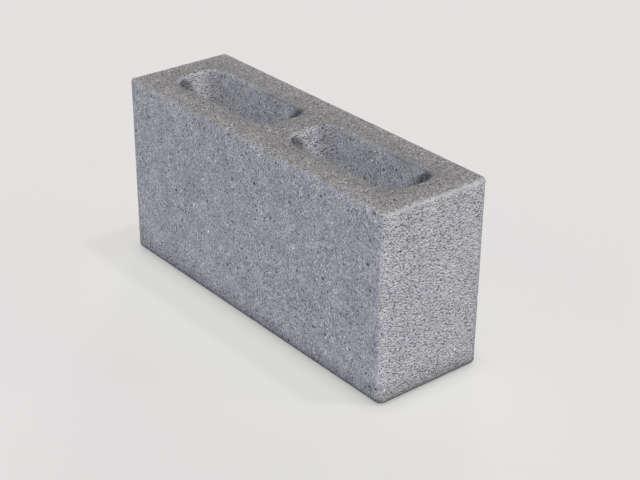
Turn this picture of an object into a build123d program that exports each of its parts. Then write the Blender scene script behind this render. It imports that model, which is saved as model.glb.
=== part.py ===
"""Hollow concrete block, cast in one piece, with two cores right through it.

Millimetres, +Z up, origin at the middle of the lower bed. The length runs along X.
"""

import os
from math import atan, degrees

from build123d import *

# Outer size
block_length = 390.0
block_width = 120.0
block_height = 190.0

# Walls round the cores, measured at the upper bed
end_web = 31.0
centre_web = 32.0
face_shell = 33.0

# Draft of the mould: how far each core wall leans out by the time it reaches the lower bed
core_spread = 2.0

# Rounded edges: upright corners, the outlines of the beds, and the rims of the cores
corner_radius = 8.0
upper_edge_radius = 5.0
lower_edge_radius = 6.0
upper_rim_radius = 4.0
lower_rim_radius = 3.0

# The upright corners of a core are rounded by this share of the core's width
core_corner_share = 1 / 3

# Worked out from the sizes above
core_count = 2
core_length = (block_length - 2 * end_web - centre_web) / core_count
core_width = block_width - 2 * face_shell
core_pitch = core_length + centre_web
core_corner_radius = core_width * core_corner_share
core_draft = degrees(atan(core_spread / block_height))

with BuildPart() as block:
    # The outside of the mould: upright walls that meet in rounded corners
    with BuildSketch():
        RectangleRounded(block_length, block_width, corner_radius)
    extrude(amount=block_height)

    # The outlines of both beds, softened all round
    upper_bed = block.faces().sort_by(Axis.Z)[-1]
    fillet(upper_bed.outer_wire().edges(), upper_edge_radius)
    lower_bed = block.faces().sort_by(Axis.Z)[0]
    fillet(lower_bed.outer_wire().edges(), lower_edge_radius)

    # The cores, wider at the lower bed so that the block strips from its mould
    with BuildSketch():
        with GridLocations(core_pitch, 0, core_count, 1):
            RectangleRounded(
                core_length + 2 * core_spread,
                core_width + 2 * core_spread,
                core_corner_radius + core_spread,
            )
    extrude(amount=block_height, taper=core_draft, mode=Mode.SUBTRACT)

    # The rims where the cores open through the beds
    upper_bed = block.faces().sort_by(Axis.Z)[-1]
    fillet(upper_bed.inner_wires().edges(), upper_rim_radius)
    lower_bed = block.faces().sort_by(Axis.Z)[0]
    fillet(lower_bed.inner_wires().edges(), lower_rim_radius)

block.part.label = "block"

os.makedirs("parts", exist_ok=True)
export_step(block.part, "parts/block.step")
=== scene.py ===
"""A hollow concrete block: its cast surface and grain, on a pale floor under soft light."""

import math

import bmesh
import bpy
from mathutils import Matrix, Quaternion, Vector, noise


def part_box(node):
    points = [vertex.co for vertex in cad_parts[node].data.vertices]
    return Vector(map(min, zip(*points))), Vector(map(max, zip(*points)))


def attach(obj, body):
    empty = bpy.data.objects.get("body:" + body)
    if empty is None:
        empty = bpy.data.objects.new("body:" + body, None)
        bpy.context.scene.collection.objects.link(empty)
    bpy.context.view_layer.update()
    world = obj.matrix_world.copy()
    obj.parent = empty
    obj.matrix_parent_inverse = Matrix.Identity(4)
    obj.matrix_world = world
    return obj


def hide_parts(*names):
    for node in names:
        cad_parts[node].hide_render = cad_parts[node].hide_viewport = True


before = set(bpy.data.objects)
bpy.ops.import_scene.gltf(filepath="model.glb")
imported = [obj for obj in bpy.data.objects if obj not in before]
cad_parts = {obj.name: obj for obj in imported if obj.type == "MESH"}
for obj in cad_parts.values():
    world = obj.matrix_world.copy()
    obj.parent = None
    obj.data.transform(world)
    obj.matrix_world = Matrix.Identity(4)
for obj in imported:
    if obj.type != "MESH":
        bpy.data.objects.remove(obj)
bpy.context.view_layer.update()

# The mould, in metres, from the block's own box
block_low, block_high = (Vector(corner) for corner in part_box("block"))
block_size = block_high - block_low
block_middle = (block_low + block_high) / 2
end_web = 0.031
centre_web = 0.032
face_shell = 0.033
core_spread = 0.002
corner_radius = 0.008
upper_edge_radius = 0.005
lower_edge_radius = 0.006
core_corner_radius = 0.018
upper_rim_radius = 0.004
lower_rim_radius = 0.003
core_inner = centre_web / 2
core_outer = block_size.x / 2 - end_web
core_middle = (core_inner + core_outer) / 2
core_half_length = (core_outer - core_inner) / 2
core_half_width = block_size.y / 2 - face_shell

# Facets along a rounded corner and a rounded edge, and of the even skin that carries the relief
corner_segments = 8
edge_segments = 6
skin_step = 0.0021

# Two faces that turn by more radians than this meet in an edge, and points this near are in one place
sharp_turn = 1.0
touch = 0.0001

# Relief of the cast skin: all of it lies below the mould's surface
swell_size = 0.012
swell_depth = 0.0002
grit_size = 0.0045
grit_depth = 0.00025
pit_spacing = 0.012
pit_share = 0.25
pit_radius = 0.0028
pit_least_share = 0.45
pit_depth = 0.0014
pit_seed = 7.0
crumble_size = 0.006
crumble_depth = 0.0008
crumble_from = 0.25
arris_turn = 0.25
arris_smooth_share = 0.8
rubble_fall = 1.0
rubble_step = 2.0
rubble_octaves = 2

# How much fuller than the rounded mould the far corners are, at the lower and at the upper bed
left_fill = (0.0008, 0.0011)
back_fill = (0.0003, 0.0006)
fill_flare = 0.35
fill_reach = 0.0076
fill_full = 0.005

# Painted shade: shares by which it darkens the skin at the foot of the walls, on faces turned down, beside
# the core rims, in the cores' upright corners and in the pits, and how far it reaches
foot_painted_shade = 0.56
foot_reach = 0.026
foot_power = 1.7
under_painted_shade = 1.2
under_least = 0.15
rim_painted_shade = 0.19
rim_reach = 0.025
corner_painted_shade = 0.36
corner_power = 0.8
void_painted_shade = 0.4

# Painted shadow in two corners of each core: a wedge on the walls that widens downwards, and a spill of
# painted shade on the rim
near_painted_shadow = 0.58
near_wedge = {"slope": 0.875, "lead": 0.0105, "reach": 0.029, "fade": 0.009}
near_wedge_start = 0.002
far_painted_shadow = 0.66
far_wedge = {"slope": 1.0, "lead": 0.0135, "reach": 0.037, "fade": 0.013}
wedge_soft = 0.004
spill_painted_shade = 0.85
spill_soft = 0.003
near_spill = {"beside_middle": 0.0025, "beside_half": 0.0045, "along_middle": 0.024, "along_half": 0.011}
far_spill = {"beside_middle": -0.002, "beside_half": 0.007, "along_middle": 0.008, "along_half": 0.010}

# Painted light and shade, and chips: shares by which the core walls, arrises and rims are painted lighter, or
# darker below 0, and by which chips are lighter or darker
core_painted_light = 0.18
core_end_painted_light = 0.07
# Painted highlight on the arrises of the ends, painted shade on those of the long faces
end_arris_highlight = 0.15
side_arris_shade = -0.01
arris_light_gain = 6.75
# Painted highlight and shade on the core rims, by the way they face
core_end_rim_shade = -0.15
core_crest_highlight = 0.45
core_side_rim_shade = -0.03
near_corner_highlight = 0.3
far_corner_highlight = 0.17
rim_highlight_gain = 6.0
chip_size = 0.004
chip_light = 0.3
rim_chip_light = 0.38

# How the bed's finish turns into a core's: its share at the wall, and the width of the change
rim_start = 0.35
rim_blend = 0.01

# Colours of the cement paste on the long faces, the ends and the beds
face_paste = (0.279, 0.284, 0.323, 1.0)
end_paste = (0.36, 0.361, 0.395, 1.0)
bed_paste = (0.301, 0.287, 0.291, 1.0)
paste_shift = (1.0, 0.98, 0.95)
face_keep = (0.0, 0.025, 0.06, 0.0)
end_keep = (0.0, 0.01, 0.02, 0.0)
bed_keep = (0.0, 0.02, 0.04, 0.0)
blue_patch = (0.986, 0.984, 1.022, 1.0)
olive_patch = (1.006, 1.018, 0.970, 1.0)
patch_range = (0.25, 0.75)
paste_roughness = 0.93
paste_gloss = 0.25

# Sizes of the grain in the finish
sand_size = 0.0005
sand_stretch = (1.0, 1.0, 0.4)
bed_sand_size = 0.00095
bed_sand_stretch = (1.0, 1.0, 1.0)
dash_size = 0.00062
dash_stretch = (1.0, 0.55, 1.15)
dash_drop = (0.0, 0.0, 0.0015)
dust_size = 0.0006
pock_spacing = 0.008
speck_spacing = 0.0034
pock_reach = (0.14, 0.3)
speck_reach = (0.24, 0.34)
spot_least_share = 0.35
ragged_size = 0.0016
ragged_shift = 0.0016
patch_size = 0.011
clump_size = 0.014
cloud_size = 0.04
cloud_detail = 2.0
grain_relief = 0.0005
grain_bump = 0.6

# Brightness of the grains, as (share of the grains, brightness) stops, where 1 is the paste's own
sand_levels = ((0.0, 0.16), (0.08, 0.42), (0.2, 0.75), (0.5, 1.02), (0.8, 1.25), (0.92, 1.55), (1.0, 2.2))
dash_levels = ((0.0, 0.0), (0.18, 0.13), (0.26, 0.85), (0.5, 1.08), (0.8, 1.13), (0.94, 1.22), (1.0, 1.7))
# Painted shadow that each dash casts on the one below it, by the brightness of that dash
dash_shade = ((0.0, 1.15), (0.5, 1.06), (1.0, 0.68))
pock_levels = ((0.0, 0.1), (0.035, 0.35), (0.04, 1.0), (1.0, 1.0))
speck_levels = ((0.0, 0.04), (0.18, 0.36), (0.19, 1.0), (0.86, 1.0), (0.87, 1.3), (1.0, 2.2))

# Brightness of dust, clumps and clouds, and the shares by which a face shows less of them or of spots
dust_range = (0.72, 1.28)
face_clump = 0.28
end_clump = 0.14
bed_clump = 0.08
cloud_range = (0.91, 1.09)
bed_cloud_fade = 0.7
pock_fade = 0.6
end_speck_fade = 0.3
worn_dash_fade = 3.2

# Seams between the finishes: how ragged they are, and the shares between which they turn
seam_size = 0.003
bed_ragged = 0.5
rim_ragged = 1.1
bed_seam = (0.5, 0.75)
end_ragged = 0.3
end_seam = (0.17, 0.3)

# Studio
pale = (0.760, 0.745, 0.738, 1.0)
floor_paper = (0.894, 0.877, 0.868, 1.0)
# Painted glow of light bounced onto the floor near the block
floor_painted_glow = (0.966, 0.973, 0.907, 1.0)
floor_dull = (0.68, 0.667, 0.66, 1.0)
floor_half = 6.0
# How far the painted glow reaches
near_reach = 0.2
# Reach and depth of the painted contact shadow on the floor
contact_reach = 0.02
contact_shade = 0.22
sky_level = 0.307
lamps = {
    "key_lamp": {"come_from": (0.683, -0.553, 0.477), "power": 3.02, "spread": 0.12},
    "crown_lamp": {"come_from": (0.22, 0.23, 0.947), "power": 0.18, "spread": 0.07},
    "right_lamp": {"come_from": (0.7, 0.7, 0.02), "power": 0.95, "spread": 0.3},
    "left_lamp": {"come_from": (-0.7, -0.7, 0.02), "power": 0.16, "spread": 0.3},
    "back_lamp": {"come_from": (-0.7, 0.7, 0.02), "power": 1.9, "spread": 0.3},
}

# The photo's viewpoint
camera_place = Vector((1.0020, -0.7899, 0.7363))
camera_aim = Vector((0.05525, -0.01484, 0.0950))
camera_roll = 0.0091
camera_lens = 83.38
camera_film = 36.0


# The block as it leaves the mould

def is_upright(edge):
    """True for an edge that runs from one bed to the other."""
    low, high = sorted(vert.co.z for vert in edge.verts)
    return high - low > block_size.z / 2


def is_level(face):
    """True for a face that lies in a bed."""
    return abs(face.normal.z) > max(abs(face.normal.x), abs(face.normal.y))


def in_core(place, side):
    """True for a point inside the outline of the core on that side."""
    along = place.x * side
    return (core_inner - touch < along < core_outer + touch
            and abs(place.y) < core_half_width + touch)


def bevel(bm, edges, radius, segments):
    """Rounds those edges to that radius."""
    bmesh.ops.bevel(bm, geom=edges, offset=radius, offset_type="OFFSET", segments=segments,
                    profile=0.5, affect="EDGES", material=-1, clamp_overlap=True)


def cut(bm, place, direction):
    """A straight cut right through the mesh."""
    geometry = bm.verts[:] + bm.edges[:] + bm.faces[:]
    bmesh.ops.bisect_plane(bm, geom=geometry, plane_co=place, plane_no=direction)


def open_core(bm, side):
    """Takes the core out of both beds and walls it from bed to bed, wider at the lower one."""
    faces = [face for face in bm.faces
             if is_level(face) and in_core(face.calc_center_median(), side)]
    rims = list({edge for face in faces for edge in face.edges})
    bmesh.ops.delete(bm, geom=faces, context="FACES_ONLY")
    bmesh.ops.bridge_loops(bm, edges=rims)
    for vert in {vert for edge in rims for vert in edge.verts if vert.co.z < block_middle.z}:
        vert.co.x += math.copysign(core_spread, vert.co.x - side * core_middle)
        vert.co.y += math.copysign(core_spread, vert.co.y)


def round_upright_corners(bm):
    """Rounds the block's own corners and the corners of the cores."""
    upright = [edge for edge in bm.edges if is_upright(edge) and edge.calc_face_angle() > sharp_turn]
    outer = [edge for edge in upright if abs(edge.verts[0].co.y) > block_size.y / 2 - touch]
    inner = [edge for edge in upright if edge not in outer]
    bevel(bm, outer, corner_radius, corner_segments)
    bevel(bm, inner, core_corner_radius, corner_segments)


def bed_edges(bm, height):
    """The outline of the bed at that height, and the rims of its cores."""
    edges = [edge for edge in bm.edges
             if all(abs(vert.co.z - height) < touch for vert in edge.verts)
             and edge.calc_face_angle() > sharp_turn]
    spread = core_spread + touch
    rims = [edge for edge in edges
            if all(abs(vert.co.y) < core_half_width + spread and abs(vert.co.x) < core_outer + spread
                   for vert in edge.verts)]
    outline = [edge for edge in edges if edge not in rims]
    return outline, rims


def round_beds(bm):
    """Softens the outline of each bed and the rims of the cores in it."""
    for height, edge_radius, rim_radius in (
        (block_high.z, upper_edge_radius, upper_rim_radius),
        (block_low.z, lower_edge_radius, lower_rim_radius),
    ):
        outline, rims = bed_edges(bm, height)
        bevel(bm, outline, edge_radius, edge_segments)
        outline, rims = bed_edges(bm, height)
        bevel(bm, rims, rim_radius, edge_segments)


def cast_body():
    """The plain shape as it leaves the mould."""
    bm = bmesh.new()
    bmesh.ops.create_cube(bm, size=1.0)
    bmesh.ops.scale(bm, vec=block_size, verts=bm.verts)
    bmesh.ops.translate(bm, vec=block_middle, verts=bm.verts)
    for side in (-1, 1):
        for along in (core_inner, core_outer):
            cut(bm, (side * along, 0, 0), (1, 0, 0))
        cut(bm, (0, side * core_half_width, 0), (0, 1, 0))
    for side in (-1, 1):
        open_core(bm, side)
    bmesh.ops.recalc_face_normals(bm, faces=bm.faces)
    round_upright_corners(bm)
    round_beds(bm)
    bmesh.ops.recalc_face_normals(bm, faces=bm.faces)
    mesh = bpy.data.meshes.new("block_body")
    bm.to_mesh(mesh)
    bm.free()
    return mesh


def even_skin(mesh):
    """The same shape in small even facets, fine enough to carry the relief."""
    mould = bpy.data.objects.new("block_mould", mesh)
    body = bpy.data.objects.new("block_body", mesh)
    for piece in (mould, body):
        bpy.context.scene.collection.objects.link(piece)
    remesh = body.modifiers.new("even_skin", "REMESH")
    remesh.mode = "VOXEL"
    remesh.voxel_size = skin_step
    press = body.modifiers.new("against_the_mould", "SHRINKWRAP")
    press.target = mould
    depsgraph = bpy.context.evaluated_depsgraph_get()
    skin = bpy.data.meshes.new_from_object(body.evaluated_get(depsgraph))
    for piece in (mould, body):
        bpy.data.objects.remove(piece)
    return skin


# The relief of its skin

def share_of(value):
    """A value kept from 0 to 1."""
    return min(1.0, max(0.0, value))


def half_way(value):
    """A value from -1 to 1, brought to 0 to 1."""
    return 0.5 + 0.5 * value


def rubble(place, size):
    """Rough noise of that size, about from -1 to 1."""
    return noise.fractal(place / size, rubble_fall, rubble_step, rubble_octaves)


def arris(normal):
    """From 0 on a flat face to 1 in the middle of a rounded edge."""
    flat = max(abs(part) for part in normal)
    return min(1.0, (1.0 - flat) / arris_turn)


def pit_below(place):
    """How deep the nearest void in the skin reaches at that point, from 0 to 1."""
    distances, centres = noise.voronoi(place / pit_spacing)
    chance = half_way(noise.cell(centres[0] * pit_seed))
    if chance > pit_share:
        return 0.0
    radius = pit_radius * (pit_least_share + (1.0 - pit_least_share) * chance / pit_share)
    reach = distances[0] * pit_spacing / radius
    return max(0.0, 1.0 - reach * reach)


def relief(place, normal):
    """Depth below the mould's surface, and how much of it is a void."""
    swell = half_way(noise.noise(place / swell_size))
    grit = half_way(rubble(place, grit_size))
    crumble = max(0.0, rubble(place, crumble_size) - crumble_from)
    void = pit_below(place)
    edge = arris(normal)
    depth = (swell_depth * swell + grit_depth * grit) * (1.0 - arris_smooth_share * edge)
    depth += pit_depth * void + crumble_depth * crumble * edge
    return depth, void


def corner_fill(place, normal):
    """How the block stands out past the rounded mould where two walls meet a bed, but for the near corner."""
    if place.x > 0.0 > place.y:
        return Vector()
    lower_fill, upper_fill = back_fill if place.y > 0.0 else left_fill
    if place.z > block_middle.z:
        height, fill, up = block_high.z, upper_fill, 1.0
    else:
        height, fill, up = block_low.z, lower_fill, -1.0
    corner = Vector((block_size.x / 2, block_size.y / 2, height))
    gap = (corner - Vector((abs(place.x), abs(place.y), place.z))).length
    near = share_of((fill_reach - gap) / (fill_reach - fill_full))
    eased = near * near * (3.0 - 2.0 * near)
    return fill * eased * Vector((fill_flare * normal.x, fill_flare * normal.y, up))


# Painted shade and highlights, and chips, on its skin

def foot_light(place, normal):
    """Share of its brightness that a wall keeps under the painted shade at its foot and on faces turned down.
    """
    foot_shade = foot_painted_shade * max(0.0, 1.0 - (place.z - block_low.z) / foot_reach) ** foot_power
    under = max(under_least, 1.0 + under_painted_shade * min(0.0, normal.z))
    return under * (1.0 - foot_shade * (1.0 - normal.z ** 2))


def rim_light(place, normal):
    """Share of its brightness that a bed keeps under the painted shade near the rims of the cores."""
    light = 1.0
    for along in (place.x, -place.x):
        gap_x = max(core_inner - along, along - core_outer, 0.0)
        gap_y = max(abs(place.y) - core_half_width, 0.0)
        near = max(0.0, 1.0 - math.hypot(gap_x, gap_y) / rim_reach)
        light *= 1.0 - rim_painted_shade * near * normal.z ** 2
    return light


def past_corner_middle(along, across):
    """How far a point lies past the middle of a core's rounded corner, along the core and across it."""
    return (max(0.0, abs(along) - core_half_length + core_corner_radius),
            max(0.0, abs(across) - core_half_width + core_corner_radius))


def beyond_wall(along, across):
    """How far a point lies outside the upright walls of a core, measured from the core's middle."""
    return math.hypot(*past_corner_middle(along, across)) - core_corner_radius


def within_core(place):
    """True for a point on the walls or the rim of a core."""
    reach = core_spread + upper_rim_radius + touch
    return (abs(place.y) < core_half_width + reach
            and core_inner - reach < abs(place.x) < core_outer + reach)


def spill(beside, along, beside_middle, beside_half, along_middle, along_half):
    """How much of the painted shade in a core's corner lies on the rim, that far beside the wall and along
    it.
    """
    across = share_of((beside_half - abs(beside - beside_middle)) / spill_soft)
    return spill_painted_shade * across * share_of((along_half - abs(along - along_middle)) / spill_soft)


def wedge(depth, gap, slope, lead, reach, fade):
    """From 0 to 1, how much painted shadow lies in a corner of a core, that far below its rim and beside it.
    """
    below = depth - slope * (gap - lead)
    return share_of(0.5 + below / wedge_soft) * share_of((reach - gap) / fade)


def wedge_light(place, wall):
    """Share of its brightness that a core's wall and rim keep beside the two corners with painted shadow."""
    depth = block_high.z - place.z
    along = place.x - math.copysign(core_middle, place.x)
    near_gap = max(core_half_length + along, core_half_width + place.y)
    far_gap = max(core_half_length - along, core_half_width - place.y)
    near_left = wall * wedge(depth, near_gap, **near_wedge)
    near_left *= share_of((depth - near_wedge_start) / near_wedge_start)
    far_right = wall * wedge(depth, far_gap, **far_wedge)
    if depth < upper_rim_radius:
        beside = beyond_wall(along, place.y)
        if place.y < 0.0:
            near_left = max(near_left, spill(beside, core_half_length + along, **near_spill))
        elif along > 0.0:
            far_right = max(far_right, spill(beside, core_half_width - place.y, **far_spill))
    return (1.0 - near_painted_shadow * near_left) * (1.0 - far_painted_shadow * far_right)


def core_light(place, normal):
    """Brightness of a core's walls, lifted by painted light, but for the painted shade in their upright
    corners and the painted shadow beside two of them.
    """
    wall = 1.0 - normal.z ** 2
    # Painted shade in the upright corners of the cores
    turn = max(0.0, -2.0 * normal.x * normal.y) ** corner_power
    # Painted light lifts the core walls, and more those that face the ends
    lifted = 1.0 + core_painted_light * wall + core_end_painted_light * normal.x ** 2
    return lifted * (1.0 - corner_painted_shade * turn) * wedge_light(place, wall)


def arris_light(normal):
    """How much lighter the arrises between an end and a bed are painted as a highlight, and how much darker
    those of the long faces as shade.
    """
    return arris_light_gain * normal.z ** 4 * (end_arris_highlight * normal.x ** 2 + side_arris_shade * normal.y ** 2)


def rim_highlight_and_shade(normal):
    """How the rims of the cores are painted lighter as a highlight along their crests and most of all round
    their corners, and darker as shade where they turn into the walls.
    """
    flat = max(touch, math.hypot(normal.x, normal.y))
    end = (normal.x / flat) ** 2
    turn = 4.0 * end * (1.0 - end)
    band = min(1.0, rim_highlight_gain * normal.z ** 2 * flat ** 2)
    lit_end = core_end_rim_shade + core_crest_highlight * normal.z ** 4
    lit_corner = near_corner_highlight if normal.y > 0.0 else far_corner_highlight
    return band * (lit_end * end + core_side_rim_shade * (1.0 - end) + lit_corner * turn)


def chips(place, normal, light):
    """Share by which small chips lighten or darken an arris."""
    return light * arris(normal) * rubble(place, chip_size)


def turn_to_end(along, across):
    """From 0 for a direction across the block to 1 for one along it."""
    return math.atan2(abs(along), abs(across)) / (math.pi / 2)


def finish_shares(place, normal):
    """Shares of the bed's and of the end's finish, which run into each other round the rims of the cores."""
    along = abs(place.x) - core_middle
    beyond = beyond_wall(along, place.y)
    bed = rim_start + beyond / rim_blend
    if place.z < block_high.z - upper_rim_radius or beyond < 0.0 or bed > 1.0:
        return normal.z ** 2, turn_to_end(normal.x, normal.y)
    return bed, turn_to_end(*past_corner_middle(along, place.y))


def finish_at(place, normal, void):
    """Shares of the bed's and of the end's finish, whether it is in a core, and how bright it is with its
    painted shade, painted highlights and chips.
    """
    bed, end = finish_shares(place, normal)
    # Painted shade at the foot of the walls, on faces turned down, beside the core rims and in the pits
    light = foot_light(place, normal) * rim_light(place, normal) * (1.0 - void_painted_shade * void)
    inner = within_core(place)
    if inner:
        light *= core_light(place, normal) * (1.0 + rim_highlight_and_shade(normal))
    else:
        light *= 1.0 + arris_light(normal)
    if normal.z > 0.0:
        light *= 1.0 + chips(place, normal, rim_chip_light * abs(normal.x) if inner else chip_light)
    return bed, end, float(inner), light


def roughen(mesh):
    """Sinks the skin to its relief, fills its far corners and notes on it which finish each point has, with
    its brightness under painted shade and highlights.
    """
    finish = mesh.color_attributes.new("finish", "FLOAT_COLOR", "POINT")
    normals = [vert.normal.copy() for vert in mesh.vertices]
    for vert, normal, note in zip(mesh.vertices, normals, finish.data):
        depth, void = relief(vert.co, normal)
        note.color = finish_at(vert.co, normal, void)
        place = vert.co - normal * depth + corner_fill(vert.co, normal)
        vert.co = [min(max(value, low), high) for value, low, high in zip(place, block_low, block_high)]
    mesh.shade_smooth()


# Nodes that the finishes are made of

def node(tree, kind, inputs=None, **settings):
    """A node with its settings, and its inputs as values or as the sockets that feed them."""
    made = tree.nodes.new(kind)
    for name, value in settings.items():
        setattr(made, name, value)
    for name, value in (inputs or {}).items():
        if isinstance(value, bpy.types.NodeSocket):
            tree.links.new(value, made.inputs[name])
        else:
            made.inputs[name].default_value = value
    return made


def math_node(tree, operation, first, second):
    """The result of a sum of two values or sockets."""
    return node(tree, "ShaderNodeMath", {0: first, 1: second}, operation=operation).outputs[0]


def times(tree, first, second):
    """One value multiplied by another."""
    return math_node(tree, "MULTIPLY", first, second)


def rest_of(tree, share):
    """What a share leaves of the whole."""
    return math_node(tree, "SUBTRACT", 1.0, share)


def mix_colour(tree, share, first, second):
    """The first colour, with that share of the second."""
    mixed = node(tree, "ShaderNodeMix", {0: share, 6: first, 7: second}, data_type="RGBA")
    return mixed.outputs[2]


def mix_value(tree, share, first, second):
    """The first value, with that share of the second."""
    mixed = node(tree, "ShaderNodeMix", {0: share, 2: first, 3: second}, data_type="FLOAT")
    return mixed.outputs[0]


def by_face(tree, mix, end, bed, on_face, on_end, on_bed):
    """What belongs to the face that a point lies on: a long face, an end or a bed."""
    return mix(tree, bed, mix(tree, end, on_face, on_end), on_bed)


def product(tree, first, second):
    """One colour multiplied by another."""
    return node(tree, "ShaderNodeVectorMath", {0: first, 1: second}, operation="MULTIPLY").outputs["Vector"]


def between(tree, value, low, high, from_low=0.0, from_high=1.0):
    """A value brought into another range."""
    ranged = node(tree, "ShaderNodeMapRange", {
        "Value": value, "From Min": from_low, "From Max": from_high, "To Min": low, "To Max": high})
    return ranged.outputs["Result"]


def ramp(tree, value, stops):
    """A value through a ramp of grey levels, given as (place, level) pairs."""
    made = node(tree, "ShaderNodeValToRGB", {"Fac": value})
    elements = made.color_ramp.elements
    while len(elements) < len(stops):
        elements.new(0.5)
    for element, (place, level) in zip(elements, stops):
        element.position = place
        element.color = (level, level, level, 1.0)
    return made.outputs["Color"]


def clouds(tree, places, size):
    """Soft noise of that size, from 0 to 1."""
    made = node(tree, "ShaderNodeTexNoise", {"Vector": places, "Scale": 1 / size, "Detail": cloud_detail})
    return made.outputs["Fac"]


# The concrete finish

def grains(tree, places, size, stretch, shift=(0.0, 0.0, 0.0)):
    """Grains of that size: a number from 0 to 1 for each grain, and its rounded height."""
    turned = node(tree, "ShaderNodeMapping", {"Vector": places, "Scale": stretch, "Location": shift})
    cells = node(tree, "ShaderNodeTexVoronoi", {"Vector": turned.outputs["Vector"], "Scale": 1 / size})
    pick = node(tree, "ShaderNodeSeparateColor", {"Color": cells.outputs["Color"]}).outputs["Red"]
    return pick, cells.outputs["Distance"]


def sand(tree, places, size, stretch):
    """Sand in the paste: its brightness and its height."""
    pick, height = grains(tree, places, size, stretch)
    return ramp(tree, pick, sand_levels), height


def dashes(tree, places):
    """Level dashes of the ends, each casting a painted shadow on the one below it: their brightness and
    height.
    """
    pick, height = grains(tree, places, dash_size, dash_stretch)
    above = grains(tree, places, dash_size, dash_stretch, dash_drop)[0]
    return times(tree, ramp(tree, pick, dash_levels), ramp(tree, above, dash_shade)), height


def grain(tree, places, end, bed, worn):
    """The grain of each face: its brightness and its height. Worn arrises show less of the dashes."""
    face_level, face_height = sand(tree, places, sand_size, sand_stretch)
    dash_level, dash_height = dashes(tree, places)
    dash_level = mix_value(tree, times(tree, worn, worn_dash_fade), dash_level, 1.0)
    bed_level, bed_height = sand(tree, places, bed_sand_size, bed_sand_stretch)
    level = by_face(tree, mix_value, end, bed, face_level, dash_level, bed_level)
    height = by_face(tree, mix_value, end, bed, face_height, dash_height, bed_height)
    return level, height


def flat_places(tree, places, end, bed):
    """Places measured along the face that they lie on, with ragged edges round each spot."""
    part = node(tree, "ShaderNodeSeparateXYZ", {"Vector": places}).outputs
    along_faces = [
        node(tree, "ShaderNodeCombineXYZ", {"X": part[across], "Y": part[up]}).outputs["Vector"]
        for across, up in (("X", "Z"), ("Y", "Z"), ("X", "Y"))]
    flat = by_face(tree, mix_colour, end, bed, *along_faces)
    ragged = node(tree, "ShaderNodeTexNoise", {"Vector": places, "Scale": 1 / ragged_size})
    moved = {0: ragged.outputs["Color"], 1: (ragged_shift, ragged_shift, 0.0), 2: flat}
    return node(tree, "ShaderNodeVectorMath", moved, operation="MULTIPLY_ADD").outputs["Vector"]


def spots(tree, places, spacing, reaches, levels):
    """Single dark pores and light grains: the brightness that they give the skin."""
    cells = node(tree, "ShaderNodeTexVoronoi", {"Vector": places, "Scale": 1 / spacing},
                 voronoi_dimensions="2D")
    pick = node(tree, "ShaderNodeSeparateColor", {"Color": cells.outputs["Color"]}).outputs
    radius = between(tree, pick["Blue"], spot_least_share, 1.0)
    reach = math_node(tree, "DIVIDE", cells.outputs["Distance"], radius)
    share = between(tree, reach, 1.0, 0.0, *reaches)
    return mix_value(tree, share, 1.0, ramp(tree, pick["Green"], levels))


def pocks_and_specks(tree, places, end, bed):
    """Brightness that wide pocks and small specks give each face."""
    flat = flat_places(tree, places, end, bed)
    pocks = spots(tree, flat, pock_spacing, pock_reach, pock_levels)
    fade = times(tree, math_node(tree, "MAXIMUM", end, bed), pock_fade)
    specks = spots(tree, flat, speck_spacing, speck_reach, speck_levels)
    return mix_value(tree, fade, pocks, 1.0), mix_value(tree, times(tree, end, end_speck_fade), specks, 1.0)


def clumps_and_clouds(tree, places, end, bed):
    """Brightness that clumps of sand and wide clouds give each face."""
    swing = between(tree, clouds(tree, places, clump_size), -1.0, 1.0)
    most = by_face(tree, mix_value, end, bed, face_clump, end_clump, bed_clump)
    clump = math_node(tree, "ADD", times(tree, swing, most), 1.0)
    cloud = between(tree, clouds(tree, places, cloud_size), *cloud_range)
    return clump, mix_value(tree, times(tree, bed, bed_cloud_fade), cloud, 1.0)


def seam(tree, places, share, ragged_by, low, high):
    """A share that turns from 0 to 1 along a ragged line, where one finish meets another."""
    swing = between(tree, clouds(tree, places, seam_size), -1.0, 1.0)
    ragged = times(tree, swing, ragged_by)
    return between(tree, math_node(tree, "ADD", share, ragged), 0.0, 1.0, low, high)


def paste_colour(tree, places, end, bed):
    """Cement paste in the tint of each face, with bluish and olive patches."""
    paste = by_face(tree, mix_colour, end, bed, face_paste, end_paste, bed_paste)
    patch = between(tree, clouds(tree, places, patch_size), 0.0, 1.0, *patch_range)
    return product(tree, paste, mix_colour(tree, patch, blue_patch, olive_patch))


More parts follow.
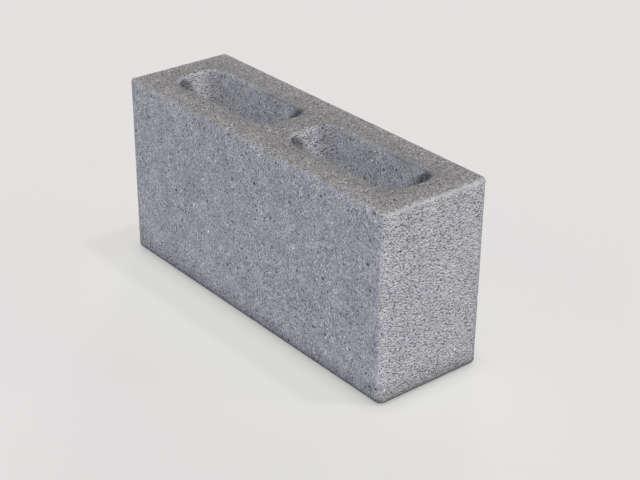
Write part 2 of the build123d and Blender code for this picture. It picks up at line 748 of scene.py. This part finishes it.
def concrete():
    """Cast concrete: paste tinted by face, sand grains, pores, painted shade and highlights, chips and worn
    arrises.
    """
    material = bpy.data.materials.new("concrete")
    material.use_nodes = True
    tree = material.node_tree
    shader = tree.nodes["Principled BSDF"]
    places = node(tree, "ShaderNodeTexCoord").outputs["Object"]
    finish = node(tree, "ShaderNodeAttribute", attribute_name="finish").outputs
    noted = node(tree, "ShaderNodeSeparateColor", {"Color": finish["Color"]}).outputs
    bed_share, end_share, inner = noted["Red"], noted["Green"], noted["Blue"]

    bed = seam(tree, places, bed_share, mix_value(tree, inner, bed_ragged, rim_ragged), *bed_seam)
    end = times(tree, seam(tree, places, end_share, end_ragged, *end_seam), rest_of(tree, bed))
    worn = times(tree, times(tree, bed_share, rest_of(tree, bed_share)), rest_of(tree, inner))

    gain, height = grain(tree, places, end, bed, worn)
    dust = between(tree, clouds(tree, places, dust_size), *dust_range)
    pocks, specks = pocks_and_specks(tree, places, end, bed)
    clump, cloud = clumps_and_clouds(tree, places, end, bed)
    # The attribute's alpha brings in the painted shade, painted highlights and chips
    for share in (pocks, specks, dust, clump, cloud, finish["Alpha"]):
        gain = times(tree, gain, share)

    paste = paste_colour(tree, places, mix_value(tree, inner, end, end_share), bed)
    keep = by_face(tree, mix_colour, end, bed, face_keep, end_keep, bed_keep)
    tone = node(tree, "ShaderNodeVectorMath", {0: gain, 1: paste_shift, 2: keep}, operation="MULTIPLY_ADD")
    tree.links.new(product(tree, paste, tone.outputs["Vector"]), shader.inputs["Base Color"])
    shader.inputs["Roughness"].default_value = paste_roughness
    shader.inputs["Specular IOR Level"].default_value = paste_gloss

    raised = math_node(tree, "SUBTRACT", dust, height)
    bump = node(tree, "ShaderNodeBump", {"Strength": grain_bump, "Distance": grain_relief, "Height": raised})
    tree.links.new(bump.outputs["Normal"], shader.inputs["Normal"])
    return material


def make_block():
    """The finished block, in place of its plain solid."""
    skin = even_skin(cast_body())
    skin.name = "cast_block"
    roughen(skin)
    skin.materials.clear()
    skin.materials.append(concrete())
    block = bpy.data.objects.new("cast_block", skin)
    bpy.context.scene.collection.objects.link(block)
    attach(block, "root")
    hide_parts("block")


# Studio

def seen(tree):
    """1 for what the camera sees, straight or in a reflection, and 0 for the light that it gives."""
    path = node(tree, "ShaderNodeLightPath")
    shown = math_node(tree, "MAXIMUM", path.outputs["Is Camera Ray"], path.outputs["Is Glossy Ray"])
    return math_node(tree, "MAXIMUM", shown, path.outputs["Is Transmission Ray"])


def paper():
    """Pale floor paper, with a painted contact shadow right beside what stands on it and a painted glow of
    bounced light near it.
    """
    material = bpy.data.materials.new("floor_paper")
    material.use_nodes = True
    tree = material.node_tree
    shader = tree.nodes["Principled BSDF"]
    open_share = node(tree, "ShaderNodeAmbientOcclusion", {"Distance": contact_reach}).outputs["AO"]
    lit_share = between(tree, open_share, 1.0 - contact_shade, 1.0)
    wide_share = node(tree, "ShaderNodeAmbientOcclusion", {"Distance": near_reach}).outputs["AO"]
    shown = mix_colour(tree, wide_share, floor_painted_glow, floor_paper)
    colour = mix_colour(tree, seen(tree), floor_dull, shown)
    shaded = node(tree, "ShaderNodeVectorMath", {0: colour, "Scale": lit_share}, operation="SCALE")
    tree.links.new(shaded.outputs["Vector"], shader.inputs["Base Color"])
    shader.inputs["Roughness"].default_value = 1.0
    shader.inputs["Specular IOR Level"].default_value = 0.0
    return material


def make_floor():
    """A wide pale floor that the block stands on."""
    bm = bmesh.new()
    bmesh.ops.create_grid(bm, x_segments=1, y_segments=1, size=floor_half)
    mesh = bpy.data.meshes.new("floor")
    bm.to_mesh(mesh)
    bm.free()
    mesh.materials.append(paper())
    floor = bpy.data.objects.new("floor", mesh)
    bpy.context.scene.collection.objects.link(floor)


def make_sky():
    """Even light from all round, with a pale backdrop where the camera looks past the floor."""
    world = bpy.data.worlds.new("studio")
    bpy.context.scene.world = world
    world.use_nodes = True
    tree = world.node_tree
    background = tree.nodes["Background"]
    sky = (sky_level, sky_level, sky_level, 1.0)
    tree.links.new(mix_colour(tree, seen(tree), sky, pale), background.inputs["Color"])


def make_lamp(name, come_from, power, spread):
    """A distant soft lamp that shines on the block from that direction."""
    light = bpy.data.lights.new(name, "SUN")
    light.energy = power
    light.angle = spread
    lamp = bpy.data.objects.new(name, light)
    lamp.rotation_euler = Vector(come_from).to_track_quat("Z", "Y").to_euler()
    bpy.context.scene.collection.objects.link(lamp)


def make_camera():
    """The camera, where the photo was taken from."""
    data = bpy.data.cameras.new("camera")
    data.lens = camera_lens
    data.sensor_width = camera_film
    camera = bpy.data.objects.new("camera", data)
    camera.location = camera_place
    look = (camera_aim - camera_place).to_track_quat("-Z", "Y")
    camera.rotation_euler = (look @ Quaternion((0, 0, 1), camera_roll)).to_euler()
    bpy.context.scene.collection.objects.link(camera)
    bpy.context.scene.camera = camera


make_block()
make_floor()
make_sky()
for lamp_name, lamp_light in lamps.items():
    make_lamp(lamp_name, **lamp_light)
make_camera()
bpy.context.scene.view_settings.view_transform = "Standard"
